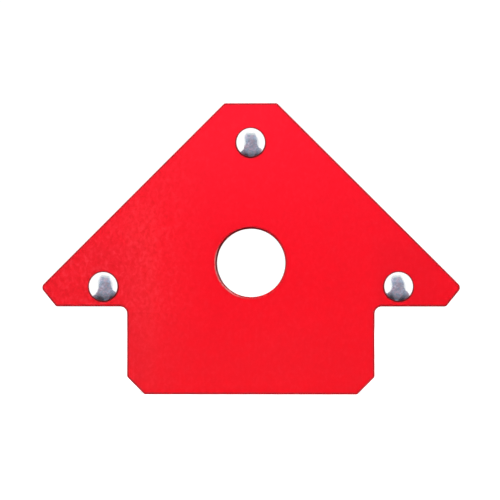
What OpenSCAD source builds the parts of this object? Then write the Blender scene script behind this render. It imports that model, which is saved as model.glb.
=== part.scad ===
// Arrow-shaped magnetic holder for welding.
// Two steel side plates are riveted together over a core of ferrite magnets, and each plate's edge is a pole.
// X runs across the wings, Y through the thickness with the front at -Y, and Z up from the base edge to the nose.
// The two long slopes stand at 45 degrees to the base, so they are square to each other.

/* [Outline] */
// Width across the wing tips, measured between the sharp corners
holder_w = 120; // [100:1:150]
// Width of the flat nose at the top
nose_w = 15; // [12:0.5:20]
// Width of the stem between its upright sides
stem_w = 70.5; // [58:0.5:86]
// Height of the stem, from the base edge to the underside of the wings
stem_h = 25; // [20:0.5:31]
// Height of each wing's end, from its underside to the tip
wing_end_h = 5.5; // [4:0.5:8]
// How far the cut below each wing tip runs inwards
wing_cut = 4.5; // [2:0.5:7]
// Size of the 45 degree cuts at the base corners
base_cut = 5; // [3:0.5:8]
// Rounding of the wing tips
tip_r = 1.5; // [0.5:0.1:2]
// Rounding of the other outer corners
corner_r = 0.9; // [0.3:0.1:1.5]
// Fillet in the corners between stem and wings
inner_r = 2; // [1:0.1:4]

/* [Thickness] */
// Thickness of each side plate
plate_t = 1.5; // [1:0.1:3]
// Thickness of the magnets and length of the spacers, which is the gap between the plates
core_t = 10; // [7:0.5:15]

/* [Centre hole] */
// Diameter of the hole through both plates
hole_d = 20; // [15:0.5:25]
// How far the ring magnet's bore stands back from the hole's edge
bore_step = 1; // [0.5:0.1:2]
// Outer diameter of the ring magnet
ring_d = 45; // [37:0.5:54]

/* [Magnets] */
// How far the magnets stand back from the plates' edges
edge_inset = 1.5; // [1:0.1:2.5]
// Gap between the ring magnet and the blocks round it
ring_gap = 1.5; // [0.5:0.1:2.5]
// Gap between blocks that lie next to each other
block_gap = 0.5; // [0.3:0.1:1]
// Rounding of the blocks' upright corners
block_r = 0.6; // [0.3:0.1:1]

/* [Rivets] */
// Diameter of a rivet's shank
shank_d = 4.8; // [4:0.1:6]
// Diameter of a rivet's domed head
head_d = 8.4; // [7.6:0.1:10.4]
// Height of the domed head, rim included
head_h = 2; // [1.6:0.1:2.6]
// Height of the head's upright rim
head_rim_h = 0.3; // [0.2:0.05:0.5]
// Diameter of the shank's hollow end
hollow_d = 3.2; // [2.6:0.1:3.6]
// Depth of the hollow, measured from the rear plate's outer face
hollow_depth = 4; // [2:0.5:6]
// Height of the end that is rolled over on the rear plate
clinch_h = 1.1; // [0.8:0.1:1.5]
// Radial clearance of the shank in the plates and spacers
shank_gap = 0.1; // [0.05:0.05:0.2]
// Wall of the spacer tubes
spacer_wall = 1.5; // [1:0.1:2]
// Gap between a spacer and the magnet next to it
spacer_gap = 0.5; // [0.3:0.1:1]
// Distance of the nose rivet below the nose
nose_rivet_down = 11.25; // [9:0.25:14]
// Distance of each wing rivet in from the wing tip
wing_rivet_in = 18; // [15:0.5:21]
// Height of each wing rivet above the underside of the wing
wing_rivet_up = 5.75; // [5.5:0.25:7]

/* [Hidden] */

// Facets of a full circle, and steps of a rounded corner's arc.
round_fn = 96;
arc_steps = 6;
// How far a cutting shape runs past the faces that it cuts.
cut_over = 1;

plate_colour = "red";
magnet_colour = "dimgray";
spacer_colour = "silver";
rivet_colour = "gainsboro";

// The slopes fall at 45 degrees from the nose to the wing tips, and that sets the height.
tip_z = stem_h + wing_end_h;
holder_h = tip_z + (holder_w - nose_w) / 2;
// Where the two slopes would meet if the nose weren't cut off.
apex_z = holder_h + nose_w / 2;
// The hole's centre is equally far from the base and from both slopes.
hole_z = apex_z / (1 + sqrt(2));

spacer_r = shank_d / 2 + shank_gap + spacer_wall;
wing_rivet_x = holder_w / 2 - wing_rivet_in;
wing_rivet_z = stem_h + wing_rivet_up;
nose_rivet_z = holder_h - nose_rivet_down;
NOSE_RIVET = [0, nose_rivet_z];
LEFT_RIVET = [-wing_rivet_x, wing_rivet_z];
RIGHT_RIVET = [wing_rivet_x, wing_rivet_z];
RIVETS = [NOSE_RIVET, LEFT_RIVET, RIGHT_RIVET];

// Depth of the slope and base magnets, from the edge inset to the ring magnet's gap.
block_w = hole_z - edge_inset - ring_gap - ring_d / 2;
// Distance of a slope or base magnet's inner face from the edge that it serves.
block_in = edge_inset + block_w;

// How far down the right slope a point [x, z] lies, measured from where a line from the origin meets it.
function along_slope(p) = (p[0] - p[1]) / sqrt(2);
// Two slope magnets in a row fill the space between the nose rivet's spacer and a wing rivet's.
// The upper one also starts late enough for its inner corner to clear its mirror image.
slope_start = max(
    along_slope(NOSE_RIVET) + spacer_r + spacer_gap,
    block_in - (apex_z - block_gap) / sqrt(2)
);
slope_end = along_slope(RIGHT_RIVET) - spacer_r - spacer_gap;
slope_block_l = (slope_end - slope_start - block_gap) / 2;

// The base magnets end where their lower corner is edge_inset away from the base corner's cut.
base_block_end = stem_w / 2 - base_cut - edge_inset * (sqrt(2) - 1);
base_block_l = base_block_end - block_gap / 2;

// The stem magnets stand on the base magnets, beside the ring, and reach up to the lower slope magnets.
stem_block_in = ring_d / 2 + ring_gap;
stem_block_out = min(stem_w / 2 - edge_inset, wing_rivet_x - spacer_r - spacer_gap);
stem_block_low = block_in + block_gap;
stem_block_high = apex_z - sqrt(2) * (block_in + block_gap) - stem_block_out;

// The corners of a side plate as [x, z, rounding], anticlockwise seen from the front.
OUTLINE = [
    [-nose_w / 2, holder_h, corner_r],
    [-holder_w / 2, tip_z, tip_r],
    [-holder_w / 2 + wing_cut, stem_h, corner_r],
    [-stem_w / 2, stem_h, inner_r],
    [-stem_w / 2, base_cut, corner_r],
    [-stem_w / 2 + base_cut, 0, corner_r],
    [stem_w / 2 - base_cut, 0, corner_r],
    [stem_w / 2, base_cut, corner_r],
    [stem_w / 2, stem_h, inner_r],
    [holder_w / 2 - wing_cut, stem_h, corner_r],
    [holder_w / 2, tip_z, tip_r],
    [nose_w / 2, holder_h, corner_r]
];

// Unit vector from one point to another, in the plane.
function unit(from, to) =
    let (d = [to[0] - from[0], to[1] - from[1]])
    d / norm(d);

// The points of an arc that rounds corner b, between its neighbours a and c. It works for inner corners too.
function rounded_corner(a, b, c) =
    let (
        to_a = unit(b, a),
        to_c = unit(b, c),
        half = acos(to_a * to_c) / 2,
        corner = [b[0], b[1]],
        centre = corner + (to_a + to_c) / norm(to_a + to_c) * b[2] / sin(half),
        start = corner + to_a * b[2] / tan(half) - centre,
        finish = corner + to_c * b[2] / tan(half) - centre,
        side = sign(start[0] * finish[1] - start[1] * finish[0]),
        turn = side * (180 - 2 * half)
    )
    [for (i = [0 : arc_steps])
        let (t = turn * i / arc_steps)
        centre + [
            start[0] * cos(t) - start[1] * sin(t),
            start[0] * sin(t) + start[1] * cos(t)
        ]];

// A closed outline with each corner [x, y, r] rounded to its own radius r.
function rounded(corners) =
    let (n = len(corners))
    [for (i = [0 : n - 1])
        each rounded_corner(corners[(i + n - 1) % n], corners[i], corners[(i + 1) % n])];

// Stands a drawing in the X-Z plane up and gives it thickness t along +Y, starting at y.
module stand(y, t) {
    translate([0, y + t, 0])
        rotate([90, 0, 0])
            linear_extrude(t)
                children();
}

// A round bar along Y, with its axis at [x, z], from y to y + t.
module bar(at, d, y, t) {
    translate([at[0], y + t, at[1]])
        rotate([90, 0, 0])
            cylinder(d = d, h = t, $fn = round_fn);
}

// A steel side plate that starts at y.
module side_plate(y) {
    color(plate_colour)
        difference() {
            stand(y, plate_t)
                polygon(rounded(OUTLINE));
            bar([0, hole_z], hole_d, y - cut_over, plate_t + 2 * cut_over);
            for (at = RIVETS)
                bar(at, shank_d + 2 * shank_gap, y - cut_over, plate_t + 2 * cut_over);
        }
}

// A rectangular ferrite block drawn from corner [0, 0] to corner [l, w], as thick as the core.
module block(l, w) {
    color(magnet_colour)
        stand(-core_t / 2, core_t)
            polygon(rounded([[0, 0, block_r], [l, 0, block_r], [l, w, block_r], [0, w, block_r]]));
}

// The ring magnet round the centre hole.
module ring_magnet() {
    color(magnet_colour)
        difference() {
            bar([0, hole_z], ring_d, -core_t / 2, core_t);
            bar([0, hole_z], hole_d + 2 * bore_step, -core_t / 2 - cut_over, core_t + 2 * cut_over);
        }
}

// A slope magnet on the right: place 0 is the upper one and place 1 the lower one.
// It is drawn along X and turned by 45 degrees about the apex, from which the slope runs down.
module slope_magnet(place) {
    translate([0, 0, apex_z])
        rotate([0, 45, 0])
            translate([
                slope_start + apex_z / sqrt(2) + place * (slope_block_l + block_gap),
                0,
                -block_in
            ])
                block(slope_block_l, block_w);
}

// The stem magnet on the right.
module stem_magnet() {
    translate([stem_block_in, 0, stem_block_low])
        block(stem_block_out - stem_block_in, stem_block_high - stem_block_low);
}

// The base magnet on the right.
module base_magnet() {
    translate([block_gap / 2, 0, edge_inset])
        block(base_block_l, block_w);
}

// The same piece on the left.
module on_left() {
    mirror([1, 0, 0])
        children();
}

// A tube that holds the plates apart round a rivet.
module spacer(at) {
    color(spacer_colour)
        difference() {
            bar(at, 2 * spacer_r, -core_t / 2, core_t);
            bar(at, shank_d + 2 * shank_gap, -core_t / 2 - cut_over, core_t + 2 * cut_over);
        }
}

// A semi-tubular rivet: a domed head on the front plate, and an end rolled over on the rear plate.
module rivet(at) {
    face_y = core_t / 2 + plate_t;
    dome_h = head_h - head_rim_h;
    dome_r = (pow(head_d / 2, 2) + pow(dome_h, 2)) / (2 * dome_h);
    roll_r = hollow_d / 2 + clinch_h;
    color(rivet_colour)
        difference() {
            union() {
                // The dome, cut from a sphere along the top of the rim.
                intersection() {
                    translate([at[0], -face_y - head_h + dome_r, at[1]])
                        sphere(r = dome_r, $fn = round_fn);
                    bar(at, head_d, -face_y - head_h, dome_h);
                }
                bar(at, head_d, -face_y - head_rim_h, head_rim_h);
                bar(at, shank_d, -face_y, 2 * face_y);
                // The rolled end: half a ring on the rear plate's face.
                translate([at[0], face_y, at[1]])
                    rotate([-90, 0, 0])
                        rotate_extrude($fn = round_fn)
                            intersection() {
                                translate([roll_r, 0])
                                    circle(r = clinch_h, $fn = round_fn);
                                square([roll_r + clinch_h, clinch_h]);
                            }
            }
            bar(at, hollow_d, face_y - hollow_depth, hollow_depth + clinch_h + cut_over);
        }
}

side_plate(-core_t / 2 - plate_t);  // front_plate
side_plate(core_t / 2);  // rear_plate
ring_magnet();
on_left() slope_magnet(0);  // left_upper_slope_magnet
on_left() slope_magnet(1);  // left_lower_slope_magnet
slope_magnet(0);  // right_upper_slope_magnet
slope_magnet(1);  // right_lower_slope_magnet
on_left() stem_magnet();  // left_stem_magnet
stem_magnet();  // right_stem_magnet
on_left() base_magnet();  // left_base_magnet
base_magnet();  // right_base_magnet
spacer(NOSE_RIVET);  // nose_spacer
spacer(LEFT_RIVET);  // left_wing_spacer
spacer(RIGHT_RIVET);  // right_wing_spacer
rivet(NOSE_RIVET);  // nose_rivet
rivet(LEFT_RIVET);  // left_wing_rivet
rivet(RIGHT_RIVET);  // right_wing_rivet
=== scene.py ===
"""The looks of a riveted magnetic welding holder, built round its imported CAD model.

Two powder-coated steel plates hold a ring and eight blocks of ferrite and three turned spacers between
them, with three rivets through all. Every piece is a surface worked out with numpy: a slab, whose
cross-section is carried round an outline, or a turned piece, whose profile is carried round an axis.
Sizes are named in millimetres, and MM turns them into metres.
"""

import math

import bmesh
import bpy
import numpy as np
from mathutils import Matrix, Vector


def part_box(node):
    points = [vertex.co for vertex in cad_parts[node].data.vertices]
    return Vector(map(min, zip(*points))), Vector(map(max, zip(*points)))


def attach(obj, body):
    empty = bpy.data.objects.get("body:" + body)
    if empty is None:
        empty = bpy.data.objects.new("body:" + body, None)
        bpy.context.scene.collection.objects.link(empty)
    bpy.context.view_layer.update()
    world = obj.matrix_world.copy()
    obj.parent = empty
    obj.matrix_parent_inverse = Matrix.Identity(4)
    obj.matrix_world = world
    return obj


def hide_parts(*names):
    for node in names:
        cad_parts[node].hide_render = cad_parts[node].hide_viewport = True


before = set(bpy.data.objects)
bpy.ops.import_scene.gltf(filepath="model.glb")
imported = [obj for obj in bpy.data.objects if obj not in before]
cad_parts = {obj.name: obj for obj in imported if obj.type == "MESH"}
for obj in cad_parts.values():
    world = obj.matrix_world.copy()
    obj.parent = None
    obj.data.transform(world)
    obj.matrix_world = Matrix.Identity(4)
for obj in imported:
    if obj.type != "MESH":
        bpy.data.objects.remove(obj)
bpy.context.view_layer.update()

MM = 0.001

# The side plates' outline. Its height comes from the frame.
HOLDER_W = 120.0
NOSE_W = 15.0
STEM_W = 70.5
STEM_H = 25.0
WING_END_H = 5.5
WING_CUT = 4.5
BASE_CUT = 5.0
TIP_R = 1.5
CORNER_R = 0.9
INNER_R = 2.0
HOLE_D = 20.0
PLATE_EDGE_R = 0.42
# How far the plates' sheet waves from flat, and over what length.
PLATE_WAVE = 0.025
PLATE_WAVE_LENGTH = 26.0

# The magnets' corners and edges, and how much their edges' rounding varies.
BLOCK_CORNER_R = 0.6
BLOCK_EDGE_R = 0.45
BLOCK_EDGE_SPREAD = 0.4
BLOCK_EDGE_LENGTH = 3.0
RING_EDGE_R = 0.5

# The rivets and spacers.
SHANK_D = 4.8
SHANK_GAP = 0.1
HEAD_D = 8.4
HEAD_RIM_H = 0.3
HEAD_RIM_R = 0.3
HOLLOW_D = 3.2
HOLLOW_DEPTH = 4.0
HOLLOW_CONE = 0.6
CLINCH_H = 1.1
SPACER_EDGE_R = 0.3

# How finely shapes are divided: in steps, and as the spacing of an outline's points in millimetres.
ARC_STEPS = 8
EDGE_STEPS = 6
CIRCLE_STEPS = 144
TENT_STEPS = 64
DOME_STEPS = 24
RIM_STEPS = 7
ROLL_STEPS = 20
PLATE_SPACING = 1.5
BLOCK_SPACING = 0.8
# The width of the strip beside each rounding over which its edge mark fades out, in millimetres, and how
# strong the mark is where the rounding begins. The mark is wear, and on the red coat a thin coat with
# painted shade.
SUPPORT = 0.25
EDGE_START = 0.55
# Faces that meet at more than this many degrees stay crisp.
CRISP_ANGLE = 40

# The view: the camera's distance from the front plate, the width seen there, its place and its aim.
VIEW_DISTANCE = 400.0
VIEW_WIDTH = 142.3
CAMERA_X = 5.0
CAMERA_Z = 35.5
AIM_X = -0.2
AIM_Z = 41.1
SENSOR_W = 36.0


# ---------------------------------------------------------------- places taken from the frame

def middle(node):
    """The middle of a CAD node's box, as an array in metres."""
    low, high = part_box(node)
    return np.array((low + high) / 2)


def extent(node):
    """The size of a CAD node's box along X, Y and Z, as an array in metres."""
    low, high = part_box(node)
    return np.array(high - low)


def side(node):
    """The lowest and highest Y of a CAD node, in metres."""
    low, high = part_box(node)
    return low.y, high.y


def in_plane(node):
    """The middle of a CAD node in the X-Z plane, in metres."""
    return middle(node)[[0, 2]]


# The plates' outer faces, and how far their inner faces are from the holder's middle plane, in metres.
FRONT_FACE = side("front_plate")[0]
REAR_FACE = side("rear_plate")[1]
INNER_FACES = -side("front_plate")[1]
HOLDER_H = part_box("front_plate")[1].z
HOLE_CENTRE = in_plane("ring_magnet")
RIVETS = ["nose_rivet", "left_wing_rivet", "right_wing_rivet"]
SPACERS = ["nose_spacer", "left_wing_spacer", "right_wing_spacer"]
SQUARE_BLOCKS = ["left_stem_magnet", "right_stem_magnet", "left_base_magnet", "right_base_magnet"]
SLOPE_BLOCKS = [
    "left_upper_slope_magnet",
    "left_lower_slope_magnet",
    "right_upper_slope_magnet",
    "right_lower_slope_magnet",
]


# ---------------------------------------------------------------- camera

def make_camera():
    """The camera stands before the holder, a little to the right, and looks at its middle."""
    data = bpy.data.cameras.new("camera")
    data.sensor_width = SENSOR_W
    data.lens = SENSOR_W * VIEW_DISTANCE / VIEW_WIDTH
    data.clip_start = 0.01
    camera = bpy.data.objects.new("camera", data)
    place = Vector((CAMERA_X * MM, FRONT_FACE - VIEW_DISTANCE * MM, CAMERA_Z * MM))
    aim = Vector((AIM_X * MM, FRONT_FACE, AIM_Z * MM))
    camera.location = place
    camera.rotation_euler = (aim - place).to_track_quat("-Z", "Y").to_euler()
    bpy.context.scene.collection.objects.link(camera)
    bpy.context.scene.camera = camera


# ---------------------------------------------------------------- outlines and profiles

def unit(vectors):
    """Each row divided by its length."""
    return vectors / np.linalg.norm(vectors, axis=-1, keepdims=True)


def rounded_loop(corners, spacing):
    """A closed outline whose corners [x, z, radius] are arcs, anticlockwise, in metres.

    An arc's centre lies on the corner's bisector, radius / sin(half angle) away, and the arc sweeps
    180 degrees less the corner's angle. Straight stretches get points about one spacing apart.
    """
    corners = np.asarray(corners, float)
    point, radius = corners[:, :2], corners[:, 2:]
    to_last = unit(np.roll(point, 1, axis=0) - point)
    to_next = unit(np.roll(point, -1, axis=0) - point)
    half = np.arccos((to_last * to_next).sum(1, keepdims=True)) / 2
    centre = point + unit(to_last + to_next) * radius / np.sin(half)
    start = point + to_last * radius / np.tan(half) - centre
    finish = point + to_next * radius / np.tan(half) - centre
    way = np.sign(start[:, :1] * finish[:, 1:] - start[:, 1:] * finish[:, :1])
    turn = way * (np.pi - 2 * half) * np.linspace(0, 1, ARC_STEPS + 1)
    cos, sin = np.cos(turn), np.sin(turn)
    spoke = [start[:, :1] * cos - start[:, 1:] * sin, start[:, :1] * sin + start[:, 1:] * cos]
    arcs = centre[:, None] + np.stack(spoke, -1)
    stretches = []
    for arc, after in zip(arcs, np.roll(arcs, -1, axis=0)):
        run = after[0] - arc[-1]
        steps = max(1, math.ceil(np.linalg.norm(run) / spacing))
        stretches += [arc, arc[-1] + run * np.linspace(0, 1, steps, endpoint=False)[1:, None]]
    return np.concatenate(stretches)


def outwards(loop):
    """A loop's unit normals: at each point, the line from the last point to the next, turned to the right.

    The loop runs anticlockwise, so they point out of it.
    """
    along = np.roll(loop, -1, axis=0) - np.roll(loop, 1, axis=0)
    return unit(along[:, ::-1] * [1, -1])


def circle_loop(centre, radius, angle=None):
    """A circle in the X-Z plane: centre + radius (cos angle, sin angle)."""
    if angle is None:
        angle = np.linspace(0, 2 * np.pi, CIRCLE_STEPS, endpoint=False)
    return centre + radius * np.stack([np.cos(angle), np.sin(angle)], -1)


def quarter():
    """A rounded edge of radius 1 as insets 1 - sin a and depths 1 - cos a, with a from 0 to 90 degrees."""
    angle = np.linspace(0, np.pi / 2, EDGE_STEPS)[:, None]
    return 1 - np.sin(angle), 1 - np.cos(angle)


def waves(place, length, seed, count=9):
    """A smooth random height of about -1 to 1 at each place [x, z].

    It is a sum of sines that run in seeded directions, with wavelengths of 0.7 to 1.6 times length.
    """
    draw = np.random.default_rng(seed)
    heading, phase = draw.uniform(0, 2 * np.pi, (2, count))
    wavelength = length * draw.uniform(0.7, 1.6, count)
    travel = place[..., :1] * np.cos(heading) + place[..., 1:] * np.sin(heading)
    return np.sin(2 * np.pi * travel / wavelength + phase).sum(-1) / count ** 0.5


# ---------------------------------------------------------------- meshes

def grid_quads(rows, columns, closed_rows):
    """The quads of a grid of points.

    Its columns close on themselves, and its rows do if closed_rows is true.
    """
    row, column = np.meshgrid(np.arange(rows - (not closed_rows)), np.arange(columns), indexing="ij")
    below, beside = (row + 1) % rows, (column + 1) % columns
    corners = [(row, column), (row, beside), (below, beside), (below, column)]
    return np.stack([r * columns + c for r, c in corners], -1).reshape(-1, 4)


def link_mesh(name, points, closed_rows, edge=None):
    """A smooth mesh object of a grid of points, with poles and seams merged and its normals outwards.

    edge is a number for each point, which the materials read as the attribute "edge".
    """
    mesh = bpy.data.meshes.new(name)
    mesh.from_pydata(points.reshape(-1, 3), [], grid_quads(*points.shape[:2], closed_rows))
    if edge is not None:
        mesh.attributes.new("edge", "FLOAT", "POINT").data.foreach_set("value", edge.ravel())
    piece = bpy.data.objects.new(name, mesh)
    bpy.context.scene.collection.objects.link(piece)
    shape = bmesh.new()
    shape.from_mesh(mesh)
    bmesh.ops.remove_doubles(shape, verts=shape.verts, dist=1e-7)
    bmesh.ops.recalc_face_normals(shape, faces=shape.faces)
    shape.to_mesh(mesh)
    shape.free()
    smooth(piece)
    return piece


def smooth(piece):
    """Smooth shading that stays crisp where faces meet at more than CRISP_ANGLE."""
    piece.data.shade_smooth()
    piece.data.set_sharp_from_angle(angle=math.radians(CRISP_ANGLE))


def slab(name, rim, y_range, edge, steps, hole=None, wave=None):
    """A flat slab between two Y values with rounded edges, perhaps with a hole in its middle.

    Its cross-section is carried round the rim: across the front as (1 - t) middle + t rim, with t from
    0 to 1, round the outer edge, back across the rear, and round the hole's edge where there is one.
    The rim and the hole are loops of as many points. edge is the rounding's radius, one number or one
    for each point of the rim. wave(places) is added to Y everywhere, so it bends the slab and keeps its
    thickness. The attribute "edge" is 0 on the faces and walls, EDGE_START where the roundings begin and
    1 in their middles.
    """
    low, high = y_range
    edge = np.broadcast_to(edge, len(rim))[:, None]
    inset, depth = quarter()
    outer = rim - inset[..., None] * edge * outwards(rim)
    drop = depth * edge[:, 0]
    brim = rim - (edge + SUPPORT * MM) * outwards(rim)
    if hole is None:
        inner = np.broadcast_to(rim.mean(0), rim.shape)
        start = inner
    else:
        inner = hole + inset[..., None] * edge * outwards(hole)
        start = hole + (edge + SUPPORT * MM) * outwards(hole)
    face = start + np.linspace(0, 1, steps)[:, None, None] * (brim - start)
    plain = np.zeros(face.shape[:2])
    # The edge mark: wear, and on the red coat a thin coat with painted shade.
    worn = EDGE_START + (1 - EDGE_START) * np.sin(np.linspace(0, np.pi, EDGE_STEPS))[:, None] + 0 * drop
    wall = edge[:, 0] + SUPPORT * MM
    rows = [
        (face, low + plain, plain),
        (outer, low + drop, worn),
        (rim[None], low + wall[None], plain[:1]),
        (rim[None], high - wall[None], plain[:1]),
        (outer[::-1], high - drop[::-1], worn),
        (face[::-1], high + plain, plain),
    ]
    if hole is not None:
        rows += [
            (inner, high - drop, worn),
            (hole[None], high - wall[None], plain[:1]),
            (hole[None], low + wall[None], plain[:1]),
            (inner[::-1], low + drop[::-1], worn),
        ]
    place, y, worn = [np.concatenate(part) for part in zip(*rows)]
    if wave is not None:
        y = y + wave(place)
    points = np.stack([place[..., 0], y, place[..., 1]], -1)
    return link_mesh(name, points, closed_rows=hole is not None, edge=worn)


def turned(name, profile, centre, closed):
    """A turned piece: each profile point (radius, y) is carried round the axis through centre, along Y."""
    radius, y = np.asarray(profile).T[..., None]
    angle = np.linspace(0, 2 * np.pi, CIRCLE_STEPS, endpoint=False)
    x = centre[0] + radius * np.cos(angle)
    z = centre[1] + radius * np.sin(angle)
    return link_mesh(name, np.stack([x, y + 0 * x, z], -1), closed_rows=closed)


def drill(piece, centre, radius, y_range):
    """Cuts a round hole along Y through a piece."""
    low, high = y_range
    profile = [(0, low), (radius, low), (radius, high), (0, high)]
    cutter = turned("cutter", profile, centre, closed=False)
    cut = piece.modifiers.new("hole", "BOOLEAN")
    cut.operation = "DIFFERENCE"
    cut.solver = "EXACT"
    cut.object = cutter
    bpy.context.view_layer.objects.active = piece
    bpy.ops.object.modifier_apply(modifier=cut.name)
    bpy.data.objects.remove(cutter)


# ---------------------------------------------------------------- the holder's pieces

def plate_corners():
    """The side plates' corners [x, z, rounding], anticlockwise seen from the front, in metres."""
    tip_z = STEM_H + WING_END_H
    right = np.array([
        [STEM_W / 2 - BASE_CUT, 0, CORNER_R],
        [STEM_W / 2, BASE_CUT, CORNER_R],
        [STEM_W / 2, STEM_H, INNER_R],
        [HOLDER_W / 2 - WING_CUT, STEM_H, CORNER_R],
        [HOLDER_W / 2, tip_z, TIP_R],
        [NOSE_W / 2, HOLDER_H / MM, CORNER_R],
    ])
    left = right[::-1] * [-1, 1, 1]
    return np.concatenate([right, left]) * MM


def side_plate(node, seed):
    """A side plate: a slab that waves a little, with the centre hole and three rivet holes."""
    rim = rounded_loop(plate_corners(), PLATE_SPACING * MM)
    from_centre = rim - HOLE_CENTRE
    angle = np.arctan2(from_centre[:, 1], from_centre[:, 0])
    hole = circle_loop(HOLE_CENTRE, HOLE_D / 2 * MM, angle)
    plate = slab(
        node + "_coated", rim, side(node), PLATE_EDGE_R * MM, steps=40, hole=hole,
        wave=lambda place: PLATE_WAVE * MM * waves(place, PLATE_WAVE_LENGTH * MM, seed),
    )
    low, high = side(node)
    for rivet in RIVETS:
        drill(plate, in_plane(rivet), (SHANK_D / 2 + SHANK_GAP) * MM, (low - MM, high + MM))
    smooth(plate)
    return plate


def ferrite_block(node, seed, turn=0.0):
    """A ferrite block in the place of a CAD node, turned by an angle about Y, with edges worn unevenly."""
    width = extent("left_base_magnet")[2]
    corner = BLOCK_CORNER_R * MM
    if turn:
        # Along the diagonal a rounded corner is corner * (sqrt(2) - 1) short of its sharp one, at each end.
        length = math.sqrt(2) * (extent(node)[0] + 2 * corner * (math.sqrt(2) - 1)) - width
    else:
        length, width = extent(node)[[0, 2]]
    half_l, half_w = length / 2, width / 2
    corners = np.array([
        [-half_l, -half_w, corner],
        [half_l, -half_w, corner],
        [half_l, half_w, corner],
        [-half_l, half_w, corner],
    ])
    cos, sin = math.cos(turn), math.sin(turn)
    corners[:, :2] = corners[:, :2] @ np.array([[cos, sin], [-sin, cos]]) + in_plane(node)
    rim = rounded_loop(corners, BLOCK_SPACING * MM)
    edge = BLOCK_EDGE_R * MM * (1 + BLOCK_EDGE_SPREAD * waves(rim, BLOCK_EDGE_LENGTH * MM, seed) / 2)
    return slab(node + "_ferrite", rim, side(node), edge, steps=6)


def ring_magnet():
    """The ring of ferrite round the centre hole. Its bore has the CAD ring's radius."""
    node = "ring_magnet"
    outer = extent(node)[0] / 2
    co = np.array([v.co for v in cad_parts[node].data.vertices])
    bore = np.linalg.norm(co[:, [0, 2]] - HOLE_CENTRE, axis=1).min()
    rim = circle_loop(HOLE_CENTRE, outer)
    return slab(
        node + "_ferrite", rim, side(node), RING_EDGE_R * MM, steps=8, hole=circle_loop(HOLE_CENTRE, bore))


def spacer(node):
    """A spacer: a tube with rounded ends."""
    outer = extent(node)[0] / 2
    return slab(
        node + "_turned", circle_loop(in_plane(node), outer), side(node), SPACER_EDGE_R * MM, steps=4,
        hole=circle_loop(in_plane(node), (SHANK_D / 2 + SHANK_GAP) * MM))


def rivet_head():
    """The head's profile: a dome R (sin a, -cos a) from its centre, its rim's rounding and the upright rim.

    The rounding is a small circle inside the dome's that touches it and the rim, so the two centres are
    R less the small radius apart. Heights are from the plate's face, in millimetres.
    """
    tall = side("front_plate")[0] / MM - side("nose_rivet")[0] / MM
    radius, dome_h = HEAD_D / 2, tall - HEAD_RIM_H
    big = (radius ** 2 + dome_h ** 2) / (2 * dome_h)
    reach = math.sqrt((big - HEAD_RIM_R) ** 2 - (radius - HEAD_RIM_R) ** 2)
    meet = math.atan2(radius - HEAD_RIM_R, reach)
    a = np.linspace(0, meet, DOME_STEPS)
    b = np.linspace(meet, np.pi / 2, RIM_STEPS)
    apex = big - tall
    dome = np.stack([big * np.sin(a), apex - big * np.cos(a)], -1)
    rim_y = apex - reach
    rim = np.stack([radius - HEAD_RIM_R + HEAD_RIM_R * np.sin(b), rim_y - HEAD_RIM_R * np.cos(b)], -1)
    return np.concatenate([dome, rim, [[radius, 0], [SHANK_D / 2, 0]]])


def rolled_end():
    """The rolled end's profile: half a circle on the rear plate, then the hollow down to its coned bottom.

    Heights are from the rear plate's face, in millimetres.
    """
    b = np.linspace(0, np.pi, ROLL_STEPS)
    roll_r = HOLLOW_D / 2 + CLINCH_H
    roll = np.stack([roll_r + CLINCH_H * np.cos(b), CLINCH_H * np.sin(b)], -1)
    hollow = [[HOLLOW_D / 2, HOLLOW_CONE - HOLLOW_DEPTH], [0, -HOLLOW_DEPTH]]
    return np.concatenate([[[SHANK_D / 2, 0]], roll, hollow])


def rivet(node):
    """A semi-tubular rivet: the head's profile in front of the plates and the rolled end behind them."""
    front = rivet_head() * MM + [0, FRONT_FACE]
    rear = rolled_end() * MM + [0, REAR_FACE]
    return turned(node + "_plated", np.concatenate([front, rear]), in_plane(node), closed=False)


# ---------------------------------------------------------------- shader maths

class Value:
    """A shader socket that takes part in Python arithmetic: each operation adds its Math node."""

    def __init__(self, finish, socket):
        self.finish = finish
        self.socket = socket

    def math(self, operation, *others, clamp=False):
        """A Math node's operation on this value and the others."""
        values = {place: value for place, value in enumerate([self, *others])}
        return self.finish.node("ShaderNodeMath", {"operation": operation, "use_clamp": clamp}, values)

    def __add__(self, other):
        return self.math("ADD", other)

    def __sub__(self, other):
        return self.math("SUBTRACT", other)

    def __mul__(self, other):
        return self.math("MULTIPLY", other)

    def __truediv__(self, other):
        return self.math("DIVIDE", other)

    def __pow__(self, other):
        return self.math("POWER", other)

    def __rsub__(self, other):
        return (self * -1) + other

    __radd__ = __add__
    __rmul__ = __mul__

    def clamped(self):
        """The value held between 0 and 1."""
        return self.math("ADD", 0.0, clamp=True)

    def step(self, low, high):
        """0 at low and 1 at high, with a smooth rise between. low may lie above high."""
        settings = {"interpolation_type": "SMOOTHSTEP"}
        if low < high:
            return self.finish.node("ShaderNodeMapRange", settings, {0: self, 1: low, 2: high})
        return 1 - self.step(high, low)

    def rise(self, low, high):
        """The step for a length, between two lengths in millimetres."""
        return self.step(low * MM, high * MM)

    def near(self, middle, core, reach):
        """1 within core of the middle and 0 past reach, all in millimetres."""
        return (self - middle * MM).math("ABSOLUTE").rise(reach, core)


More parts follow.
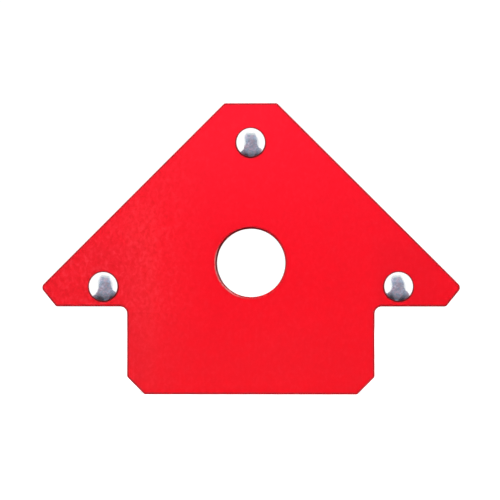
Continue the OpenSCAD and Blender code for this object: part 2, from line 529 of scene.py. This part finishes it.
class Finish:
    """A shader in the making: a material's node tree, or the world's."""

    def __init__(self, owner):
        owner.use_nodes = True
        self.owner = owner
        self.tree = owner.node_tree
        self.tree.nodes.clear()

    def node(self, kind, settings=None, inputs=None, output=0):
        """Adds a node: its settings first, then its sockets' values or links. Gives one of its outputs."""
        made = self.tree.nodes.new(kind)
        for name, value in (settings or {}).items():
            setattr(made, name, value)
        for name, value in (inputs or {}).items():
            if isinstance(value, Value):
                self.tree.links.new(value.socket, made.inputs[name])
            else:
                made.inputs[name].default_value = value
        return Value(self, made.outputs[output])

    def place(self):
        """The object's own coordinates, in metres."""
        return self.node("ShaderNodeTexCoord", output="Object")

    def edge(self):
        """The attribute that rises from 0 on a piece's faces to 1 round its edges."""
        return self.node("ShaderNodeAttribute", {"attribute_name": "edge"}, output="Fac")

    def distance(self, vector, point):
        """How far a place is from a point, in metres."""
        ends = {0: vector, 1: point}
        return self.node("ShaderNodeVectorMath", {"operation": "DISTANCE"}, ends, output="Value")

    def parts(self, vector):
        """A vector's three numbers."""
        split = self.node("ShaderNodeSeparateXYZ", inputs={0: vector}).socket.node
        return [Value(self, socket) for socket in split.outputs]

    def stretched(self, vector, scale):
        """A vector with each of its numbers multiplied by scale's."""
        return self.node("ShaderNodeVectorMath", {"operation": "MULTIPLY"}, {0: vector, 1: scale})

    def noise(self, vector, length, detail=2.0, roughness=0.5, distortion=0.0):
        """Noise from 0 to 1 whose blotches are about length across, in metres."""
        inputs = {"Vector": vector, "Scale": 1 / length, "Detail": detail, "Roughness": roughness,
                  "Distortion": distortion}
        return self.node("ShaderNodeTexNoise", inputs=inputs)

    def mix(self, share, first, second):
        """The colour first where share is 0, and second where it is 1."""
        colours = {0: share, 6: first, 7: second}
        return self.node("ShaderNodeMix", {"data_type": "RGBA"}, colours, output=2)

    def layers(self, base, *layers):
        """A colour with others laid over it in turn, each by its share."""
        for share, colour in layers:
            base = self.mix(share, base, colour)
        return base

    def seen(self):
        """1 for what the camera sees itself, and 0 for what lights or is mirrored in something else."""
        return self.node("ShaderNodeLightPath", output="Is Camera Ray")

    def either(self, share, first, second):
        """The shader first where share is 0, and second where it is 1."""
        return self.node("ShaderNodeMixShader", inputs={0: share, 1: first, 2: second})

    def bump(self, height, distance):
        """The normal of a surface raised by height times distance, which is in metres."""
        inputs = {"Height": height, "Distance": distance, "Strength": 1.0}
        return self.node("ShaderNodeBump", inputs=inputs)

    def surface(self, shader):
        """Sends a shader to the output and gives the finished material."""
        owner_kind = "World" if isinstance(self.owner, bpy.types.World) else "Material"
        output = self.tree.nodes.new("ShaderNodeOutput" + owner_kind)
        self.tree.links.new(shader.socket, output.inputs["Surface"])
        return self.owner

    def principled(self, **inputs):
        """A Principled surface. Names are its sockets' names, with _ for a space."""
        sockets = {name.replace("_", " "): value for name, value in inputs.items()}
        return self.surface(self.node("ShaderNodeBsdfPrincipled", inputs=sockets))


def joined(operation, values):
    """Several values made one by a Math operation, such as MAXIMUM."""
    result, *rest = values
    for value in rest:
        result = result.math(operation, value)
    return result


def rgb(red, green, blue):
    """An opaque colour, in linear light."""
    return (red, green, blue, 1.0)


# ---------------------------------------------------------------- materials

# The red coat: clean and in blotches, with painted light and shade: lighter and pinker towards the nose and
# the left, a pale streak that is a painted reflection, painted shade along the base and beside the wings'
# rivets, the orange peel's painted light and shade, and darker edges, partly a thin coat and partly painted
# shade.
COAT_CLEAN = rgb(0.945, 0.0004, 0.0105)
COAT_BLOTCH = rgb(0.91, 0.0000, 0.0085)
COAT_LIT_NOSE = rgb(0.96, 0.0060, 0.0260)
COAT_LEFT_SHEEN = rgb(0.97, 0.0150, 0.0260)
COAT_REFLECTION_STREAK = rgb(0.93, 0.0200, 0.0280)
COAT_BASE_SHADE = rgb(0.83, 0.0020, 0.0105)
COAT_WING_SHADE = rgb(0.83, 0.0030, 0.0130)
COAT_PEEL_SHADE = rgb(0.79, 0.0000, 0.0030)
COAT_PEEL_LIGHT = rgb(1.00, 0.0300, 0.0480)
COAT_THIN_AND_SHADED = rgb(0.36, 0.0002, 0.0030)
# A painted shadow on the coat round the rivets' heads.
RIVET_SHADOW_COLOUR = rgb(0.20, 0.0008, 0.0040)
# The rivets' rims painted dark red: a painted reflection of the red plate, with painted shade.
NICKEL_RIM_REFLECTION = rgb(0.30, 0.012, 0.020)
# Painted shade on the plates' inner faces in the recess round the centre hole.
RECESS_SHADE_COLOUR = rgb(0.012, 0.004, 0.004)
# Bare steel in specks on the edges, and a painted highlight on the centre hole's lip.
BARE_STEEL_AND_HIGHLIGHT = rgb(0.70, 0.30, 0.30)

# Across the holder, in millimetres: where a pale streak, a painted reflection, runs beside the stem's left
# edge, and how far the two patches of painted shade beside the wings' rivets are from their middle, which
# is a little to the right.
STREAK_X = -31.5
WING_SHADE_X = 41.0
WING_SHADE_SHIFT = 3.0
# The direction, from the hole's centre, in which a highlight is painted on its lip.
LIP_HIGHLIGHT_TOWARDS = (-0.90, -0.43)
# The orange peel's height in millimetres.
PEEL_HEIGHT = 0.030

FERRITE_DARK = rgb(0.030, 0.030, 0.032)
FERRITE_PALE = rgb(0.062, 0.061, 0.062)
FERRITE_GRAIN = rgb(0.085, 0.083, 0.082)
FERRITE_CHIP = rgb(0.15, 0.145, 0.14)
FERRITE_RELIEF = 0.03

ALUMINIUM_DULL = rgb(0.66, 0.67, 0.68)
ALUMINIUM_BRIGHT = rgb(0.80, 0.80, 0.80)
ALUMINIUM_RING = rgb(0.50, 0.50, 0.51)
RING_RELIEF = 0.012

NICKEL_CLEAR = rgb(0.72, 0.715, 0.72)
NICKEL_HAZY = rgb(0.87, 0.87, 0.87)
NICKEL_ROSY = rgb(0.80, 0.75, 0.80)
NICKEL_COOL = rgb(0.78, 0.83, 0.83)
NICKEL_RELIEF = 0.10


def rivet_distances(finish, flat):
    """How far a place in the X-Z plane is from each rivet's axis, in metres."""
    axes = [in_plane(rivet) for rivet in RIVETS]
    return [finish.distance(flat, (x, 0, z)) for x, z in axes]


def coat_and_painted_light(finish, across, up, blotch):
    """The coat's colour, with its painted light and shade, where it isn't mottled or worn.

    It is lighter and a shade pinker towards the nose, painted light, and towards the left, a painted sheen.
    A pale streak beside the stem's left edge is a painted reflection. It is duller along the base and
    beside the wings' rivets, painted shade.
    """
    # A pale painted reflection streak beside the stem's left edge.
    reflection_streak = across.near(STREAK_X, core=2, reach=7) * up.rise(60, 45)
    # Painted shade beside the wings' rivets.
    from_middle = (across - WING_SHADE_SHIFT * MM).math("ABSOLUTE")
    wing_shade = from_middle.near(WING_SHADE_X, core=5, reach=12) * up.rise(46, 40)
    return finish.layers(
        COAT_CLEAN,
        (blotch * 0.25, COAT_BLOTCH),
        # Painted light: lighter and pinker towards the nose.
        (up.rise(25, 90) * 0.7, COAT_LIT_NOSE),
        # The painted reflection streak.
        (reflection_streak * (0.10 + blotch * 0.5), COAT_REFLECTION_STREAK),
        # A painted sheen towards the left.
        (across.rise(-8, -30) * 0.30, COAT_LEFT_SHEEN),
        # Painted shade: darker along the base.
        (up.rise(28, 4) * 0.45, COAT_BASE_SHADE),
        # The painted shade beside the wings' rivets.
        (wing_shade * 0.36, COAT_WING_SHADE),
    )


def peel_light_and_shade(mottle, across, up, blotch):
    """The mottling, the orange peel's painted light and shade: below 0 it is darker and above 0 paler.
    The left wing is mottled most.
    """
    on_wing = across.rise(-10, -36) * (0.30 + up.rise(14, 26) * 0.70)
    return (mottle - 0.5) * (0.8 + on_wing * (1.2 + blotch * 2.7))


def painted_rivet_shadows(finish, flat, up, wavering):
    """Painted shadow, from 0 to 1, in a ring of uneven width round each rivet's head, widest below it."""
    rings = []
    for rivet, away in zip(RIVETS, rivet_distances(finish, flat)):
        below = (in_plane(rivet)[1] - up) / away
        width = (0.40 + below * 0.15 + (wavering - 0.5) * 0.3) * MM
        rings.append(((away - HEAD_D / 2 * MM) / width).step(1.0, 0.3))
    return joined("MAXIMUM", rings)


def hole_shade_and_highlight(parts, from_hole, past_lip, wavering):
    """Painted shade on the plates' inner faces round the centre hole, in the recess between them, and a
    painted highlight on its lip.

    Both are from 0 to 1. The shade ends within 2.2 mm of the lip. The highlight lies in one direction from
    the hole's centre, where the cosine of the angle between them is near 1.
    """
    across, through, up = parts
    # Painted shade on the inner faces in the recess round the hole.
    recess_shade = through.math("ABSOLUTE").step(INNER_FACES + 0.10 * MM, INNER_FACES + 0.02 * MM)
    recess_shade = recess_shade * past_lip.rise(2.2, 1.4)
    x, z = HOLE_CENTRE
    to_x, to_z = LIP_HIGHLIGHT_TOWARDS
    towards = ((across - x) * to_x + (up - z) * to_z) / from_hole
    # The lip's painted highlight, in the given direction from the hole's centre.
    lip = past_lip.rise(0.50, 0.15) * (1 - recess_shade)
    lip_highlight = lip * towards.step(0.45, 0.97) * wavering.step(0.25, 0.50)
    return recess_shade, lip_highlight


def red_powder_coat():
    """Glossy red powder coat with orange peel.

    It is darker round the edges, partly a thin coat and partly painted shade, with a few tiny specks of
    steel showing, and has a painted shadow close round the rivets' heads. A pale highlight is painted on
    the centre hole's lip on its lower left, and painted shade darkens the plates' inner faces round it. The
    coat's colour also holds painted light and shade across the plates.
    """
    finish = Finish(bpy.data.materials.new("red_powder_coat"))
    place = finish.place()
    flat = finish.stretched(place, (1, 0, 1))
    across, through, up = finish.parts(place)
    blotch = finish.noise(place, 14 * MM, detail=2)
    # Noise for the orange peel's painted light and shade, and for the roughness.
    mottle = finish.noise(
        finish.stretched(place, (1, 1, 0.75)), 1.1 * MM, detail=4, roughness=0.60, distortion=0.5)
    wavering = finish.noise(place, 0.9 * MM, detail=3)
    speck = finish.noise(place, 0.7 * MM, detail=4, roughness=0.6)

    x, z = HOLE_CENTRE
    from_hole = finish.distance(flat, (x, 0, z))
    past_lip = from_hole - HOLE_D / 2 * MM
    # Darker round the edges: partly a thin coat, partly painted shade.
    edge = (finish.edge() + wavering * 0.3 - 0.15).step(0.0, 0.50) * (1 - past_lip.rise(0.9, 0.6) * 0.6)
    # The orange peel's painted light and shade.
    peel_shading = peel_light_and_shade(mottle, across, up, blotch)
    # A painted shadow round the rivets' heads.
    rivet_shadow = painted_rivet_shadows(finish, flat, up, wavering)
    # Painted shade in the recess round the centre hole, and a painted highlight on its lip.
    recess_shade, lip_highlight = hole_shade_and_highlight((across, through, up), from_hole, past_lip, wavering)
    # Steel specks on the edges, and the lip's painted highlight.
    specks_and_lip_highlight = (edge * speck.step(0.70, 0.74) + lip_highlight * 0.8).clamped()
    colour = finish.layers(
        coat_and_painted_light(finish, across, up, blotch),
        # The orange peel's painted shade and painted light.
        ((peel_shading * -1).clamped(), COAT_PEEL_SHADE),
        (peel_shading.clamped(), COAT_PEEL_LIGHT),
        # The edges, partly a thin coat and partly painted shade.
        (edge * 0.72, COAT_THIN_AND_SHADED),
        # The painted shadow round the rivets' heads.
        (rivet_shadow * 0.85, RIVET_SHADOW_COLOUR),
        # The painted shade in the recess round the centre hole.
        (recess_shade * 0.97, RECESS_SHADE_COLOUR),
        # Steel specks, and the painted highlight on the hole's lip.
        (specks_and_lip_highlight, BARE_STEEL_AND_HIGHLIGHT),
    )

    peel = finish.noise(place, 1.1 * MM, detail=1.5, roughness=0.45, distortion=0.3)
    swell = finish.noise(place, 3.4 * MM, detail=1)
    height = peel * 0.62 + swell * 0.9 - rivet_shadow * 0.4
    roughness = 0.13 + mottle * 0.05 + edge * 0.45 + specks_and_lip_highlight * 0.2 + rivet_shadow * 0.4 + recess_shade * 0.5
    return finish.principled(
        Base_Color=colour,
        Roughness=roughness,
        Metallic=specks_and_lip_highlight * 0.4,
        Specular_IOR_Level=0.30,
        Normal=finish.bump(height, PEEL_HEIGHT * MM),
    )


def sintered_ferrite():
    """Matt dark grey ferrite: fine grain, faint grinding lines and paler chips along its edges."""
    finish = Finish(bpy.data.materials.new("sintered_ferrite"))
    place = finish.place()
    grain = finish.noise(place, 0.35 * MM, detail=5, roughness=0.65)
    cloud = finish.noise(place, 5 * MM, detail=3)
    lines = finish.noise(finish.stretched(place, (1, 0.06, 1)), 0.25 * MM, detail=3)
    chip = (finish.edge() * finish.noise(place, 1.1 * MM, detail=4).step(0.50, 0.60)).clamped()
    colour = finish.layers(
        FERRITE_DARK,
        (cloud, FERRITE_PALE),
        (grain * 0.5, FERRITE_GRAIN),
        (chip * 0.7, FERRITE_CHIP),
    )
    height = grain * 0.6 + lines * 0.4 - chip * 1.5
    return finish.principled(
        Base_Color=colour,
        Roughness=0.50 + grain * 0.25,
        Normal=finish.bump(height, FERRITE_RELIEF * MM),
    )


def turned_aluminium():
    """Dull turned aluminium with fine tool rings round its axis."""
    finish = Finish(bpy.data.materials.new("turned_aluminium"))
    place = finish.place()
    rings = finish.noise(finish.stretched(place, (0.02, 1, 0.02)), 0.12 * MM, detail=3, roughness=0.7)
    cloud = finish.noise(place, 2.5 * MM, detail=4)
    colour = finish.layers(ALUMINIUM_DULL, (cloud, ALUMINIUM_BRIGHT), (rings * 0.3, ALUMINIUM_RING))
    return finish.principled(
        Base_Color=colour,
        Metallic=1.0,
        Roughness=0.28 + cloud * 0.18,
        Normal=finish.bump(rings, RING_RELIEF * MM),
    )


def nickel_plate():
    """Bright nickel-plated steel: polished, with shallow unevenness, hairline scratches and a faint haze.

    The head's upright rim is painted dark red and dulled: a painted reflection of the red plate, with
    painted shade at the rim's bottom.
    """
    finish = Finish(bpy.data.materials.new("nickel_plate"))
    place = finish.place()
    away = joined("MINIMUM", rivet_distances(finish, finish.stretched(place, (1, 0, 1))))
    # The rim painted dark red and dulled: a painted reflection of the red plate, with painted shade.
    rim_reflection = (away - HEAD_D / 2 * MM).rise(-0.20, -0.08)
    dent = finish.noise(place, 2.6 * MM, detail=1)
    ripple = finish.noise(place, 0.7 * MM, detail=2)
    scratches = finish.noise(finish.stretched(place, (0.10, 1, 1)), 0.12 * MM, detail=2)
    crossing = finish.noise(finish.stretched(place, (1, 1, 0.12)), 0.14 * MM, detail=2)
    haze = finish.noise(place, 1.8 * MM, detail=3)
    tint = finish.noise(place, 1.2 * MM, detail=2)
    colour = finish.layers(
        NICKEL_CLEAR,
        (haze, NICKEL_HAZY),
        (tint.step(0.35, 0.7), finish.mix(haze, NICKEL_ROSY, NICKEL_COOL)),
        (rim_reflection, NICKEL_RIM_REFLECTION),
    )
    height = dent + ripple * 0.16 + scratches * 0.018 + crossing * 0.014
    metal = {"Base Color": colour, "Metallic": 1.0, "Normal": finish.bump(height, NICKEL_RELIEF * MM)}
    polished = finish.node("ShaderNodeBsdfPrincipled", inputs=metal | {"Roughness": 0.06 + haze * 0.07})
    dull = finish.node("ShaderNodeBsdfPrincipled", inputs=metal | {"Roughness": 0.5 + haze * 0.1})
    return finish.surface(finish.either(0.03 + haze * 0.12 + rim_reflection * 0.8, polished, dull))


# ---------------------------------------------------------------- the studio

# The tent: its radius and the height of its middle in metres, the light of its walls and of the room,
# and how much dimmer it is behind the holder.
TENT_R = 0.48
TENT_Z = 0.04
WALL_WHITE = rgb(1.40, 1.40, 1.40)
WALL_GREY = rgb(0.80, 0.87, 0.90)
ROOM_COOL = rgb(0.76, 0.91, 1.18)
ROOM_ROSY = rgb(1.08, 0.88, 1.10)
BLACK = rgb(0.0, 0.0, 0.0)
REAR_DIMMING = 0.86

# The stand before the holder, the pale shade over it and the table under it, as angles in radians. The
# stand leans as it rises and spreads as it falls. The table's edge dips to both sides of its middle.
STAND_MIDDLE = 0.09
STAND_LEAN = 0.10
STAND_HALF_WIDTH = 0.56
STAND_SPREAD = 0.25
STAND_TOP = 0.82
SHADE_HALF_WIDTH = 0.65
TABLE_TOP = -0.38
TABLE_DIP = 0.24
TABLE_MIDDLE = 0.25
SOFT_EDGE = 0.04

# The floor's half width in metres and its colour, and how bright the white surround is in lighting the
# holder and as the camera sees it.
FLOOR_HALF = 4.0
FLOOR_PALE = rgb(0.86, 0.86, 0.86)
SURROUND_LIGHT = 0.22
SURROUND_SEEN = 1.05

# Soft pale cards near the camera that the flat plate mirrors: angle right, angle up, half width and half
# height in radians, and brightness.
CARDS = [
    (-0.165, -0.035, 0.035, 0.120, 0.34),
    (-0.200, 0.035, 0.030, 0.040, 0.22),
    (-0.080, 0.125, 0.040, 0.030, 0.24),
    (-0.030, 0.190, 0.070, 0.040, 0.20),
    (-0.250, -0.020, 0.045, 0.050, 0.24),
    (0.043, -0.115, 0.025, 0.040, 0.28),
    (-0.030, -0.130, 0.070, 0.035, 0.16),
    (0.146, -0.025, 0.020, 0.050, 0.20),
]


def stand_glow(right, up, aside):
    """How bright the stand is: brighter high up and off its middle, and with the cards' soft spots."""
    glow = 0.36 + up.step(0.20, 0.60) * 0.20 + (aside - 0.15).step(0.0, 0.4) * 0.12
    for angle_right, angle_up, half_width, half_height, strength in CARDS:
        off = ((right - angle_right) / half_width) ** 2 + ((up - angle_up) / half_height) ** 2
        glow = glow + (off * -1).math("EXPONENT") * strength
    return glow


def table_glow(up, aside):
    """How bright the table is: darker downwards and outwards, with a pale patch right below the holder."""
    glow = 0.42 - up.step(-0.60, -1.20) * 0.24
    glow = glow - aside.step(0.4, 0.9) * up.step(-0.45, -0.75) * 0.18
    return (glow + up.step(-1.34, -1.42) * 0.3).math("MAXIMUM", 0.05)


def tent_light():
    """What glossy surfaces see: white walls, a grey upright stand before the holder and a dark table.

    Directions from the tent's middle are angles: right = atan2(x, |y|) and up = asin(z / radius). Behind
    the holder it is the same, dimmer.
    """
    finish = Finish(bpy.data.materials.new("tent_light"))
    place = finish.place()
    x, y, z = finish.parts(place)
    right = x.math("ARCTAN2", y.math("ABSOLUTE"))
    up = (z / TENT_R).math("ARCSINE")

    aside = (right - (STAND_MIDDLE - up.step(0.2, 0.7) * STAND_LEAN)).math("ABSOLUTE")
    half_width = STAND_HALF_WIDTH + up.step(-0.05, -0.45) * STAND_SPREAD
    stand = (aside - half_width).step(SOFT_EDGE, -SOFT_EDGE)
    stand = stand * (up - STAND_TOP).step(SOFT_EDGE, -SOFT_EDGE)
    above = (aside - SHADE_HALF_WIDTH).step(0.2, -0.2) * up.step(1.15, 0.90)
    table_edge = TABLE_TOP - (right - TABLE_MIDDLE).math("ABSOLUTE").step(0.7, 1.4) * TABLE_DIP
    table = (up - table_edge).step(SOFT_EDGE, -SOFT_EDGE)

    clutter = finish.noise(place, 70 * MM, detail=3, roughness=0.6)
    busy = 1 + (clutter - 0.5) * (aside + up.math("ABSOLUTE")).step(0.25, 0.6) * 1.6
    glow = stand_glow(right, up, aside)
    shade = (glow + table * (table_glow(up, aside) - glow)) * busy
    tint = finish.noise(place, 120 * MM, detail=2).step(0.40, 0.60)
    room = finish.mix(shade, BLACK, finish.mix(tint, ROOM_COOL, ROOM_ROSY))
    light = finish.layers(
        WALL_WHITE,
        (above, WALL_GREY),
        (stand.math("MAXIMUM", table), room),
        (y.step(0.02, 0.16) * REAR_DIMMING, BLACK),
    )
    return finish.principled(
        Base_Color=BLACK, Specular_IOR_Level=0.0, Emission_Color=light, Emission_Strength=1.0)


def reflection_tent():
    """A sphere round the holder that only reflections see: radius (cos u cos v, cos u sin v, sin u)."""
    u = np.linspace(-np.pi / 2, np.pi / 2, TENT_STEPS + 1)[:, None]
    v = np.linspace(0, 2 * np.pi, 2 * TENT_STEPS, endpoint=False)
    points = np.stack([np.cos(u) * np.cos(v), np.cos(u) * np.sin(v), np.sin(u) + 0 * v], -1) * TENT_R
    tent = link_mesh("reflection_tent", points, closed_rows=False)
    tent.location = (0, 0, TENT_Z)
    tent.visible_camera = False
    tent.visible_diffuse = False
    tent.visible_transmission = False
    tent.visible_volume_scatter = False
    tent.visible_shadow = False
    tent.data.materials.append(tent_light())


def pale_floor():
    """Matt and pale. The camera sees it glow white, a little less beside the holder."""
    finish = Finish(bpy.data.materials.new("pale_floor"))
    pale = {"Base Color": FLOOR_PALE, "Roughness": 0.9}
    matt = finish.node("ShaderNodeBsdfPrincipled", inputs=pale)
    beside = finish.distance(finish.place(), (0, 0, 0)).step(0.40, 0.12)
    glow = {"Emission Color": 1.0 - beside * 0.14, "Emission Strength": 1.0}
    bright = finish.node("ShaderNodeBsdfPrincipled", inputs=pale | glow)
    return finish.surface(finish.either(finish.seen(), matt, bright))


def studio_floor():
    """A wide floor under the holder: a square of half width FLOOR_HALF. Reflections look past it."""
    corners = [(-FLOOR_HALF, -FLOOR_HALF, 0), (FLOOR_HALF, -FLOOR_HALF, 0),
               (FLOOR_HALF, FLOOR_HALF, 0), (-FLOOR_HALF, FLOOR_HALF, 0)]
    mesh = bpy.data.meshes.new("studio_floor")
    mesh.from_pydata(corners, [], [(0, 1, 2, 3)])
    floor = bpy.data.objects.new("studio_floor", mesh)
    bpy.context.scene.collection.objects.link(floor)
    mesh.materials.append(pale_floor())
    floor.visible_glossy = False


def softbox(name, place, width, height, watts, spread=180, aim_z=HOLDER_H / 2):
    """A soft rectangular light, aimed at the holder's middle line.

    Its size is in metres, and its spread is the angle in degrees that its grid lets out.
    """
    data = bpy.data.lights.new(name, "AREA")
    data.shape = "RECTANGLE"
    data.size, data.size_y = width, height
    data.energy = watts
    data.spread = math.radians(spread)
    light = bpy.data.objects.new(name, data)
    aim = Vector((0, 0, aim_z))
    light.location = place
    light.rotation_euler = (aim - Vector(place)).to_track_quat("-Z", "Y").to_euler()
    light.visible_glossy = False
    light.visible_camera = False
    bpy.context.scene.collection.objects.link(light)


def white_surround():
    """A world that the camera sees as pure white and that adds a weak even light."""
    world = bpy.data.worlds.new("white_surround")
    bpy.context.scene.world = world
    finish = Finish(world)
    weak, white = [
        finish.node("ShaderNodeBackground", inputs={"Color": rgb(1, 1, 1), "Strength": strength})
        for strength in (SURROUND_LIGHT, SURROUND_SEEN)]
    finish.surface(finish.either(finish.seen(), weak, white))


def make_studio():
    """Plain soft studio light, mostly from the front and above, and a weaker set behind."""
    bpy.context.scene.view_settings.view_transform = "Standard"
    white_surround()
    reflection_tent()
    studio_floor()
    softbox(
        "front_softbox", (-0.02, -0.42, 0.42), width=0.24, height=0.20, watts=0.22, spread=40, aim_z=0.11)
    softbox("right_softbox", (0.65, -0.55, 0.35), width=0.5, height=0.5, watts=0.2)
    softbox("top_softbox", (0, -0.1, 1.1), width=0.9, height=0.9, watts=0.6)
    softbox("rear_softbox", (0.12, 0.38, 0.19), width=0.3, height=0.2, watts=0.9)


# ---------------------------------------------------------------- putting the holder together

def put(piece, node, material):
    """Gives a piece its material, and has it ride with the holder in place of a CAD node."""
    piece.data.materials.clear()
    piece.data.materials.append(material)
    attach(piece, "root")
    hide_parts(node)


def make_holder():
    """All the holder's pieces, each in the place of its CAD node."""
    red, ferrite = red_powder_coat(), sintered_ferrite()
    aluminium, nickel = turned_aluminium(), nickel_plate()
    for seed, node in enumerate(["front_plate", "rear_plate"], start=3):
        put(side_plate(node, seed), node, red)
    put(ring_magnet(), "ring_magnet", ferrite)
    for seed, node in enumerate(SQUARE_BLOCKS, start=20):
        put(ferrite_block(node, seed), node, ferrite)
    for seed, node in enumerate(SLOPE_BLOCKS, start=30):
        turn = math.pi / 4 if node.startswith("left") else -math.pi / 4
        put(ferrite_block(node, seed, turn), node, ferrite)
    for node in SPACERS:
        put(spacer(node), node, aluminium)
    for node in RIVETS:
        put(rivet(node), node, nickel)


make_camera()
make_holder()
make_studio()
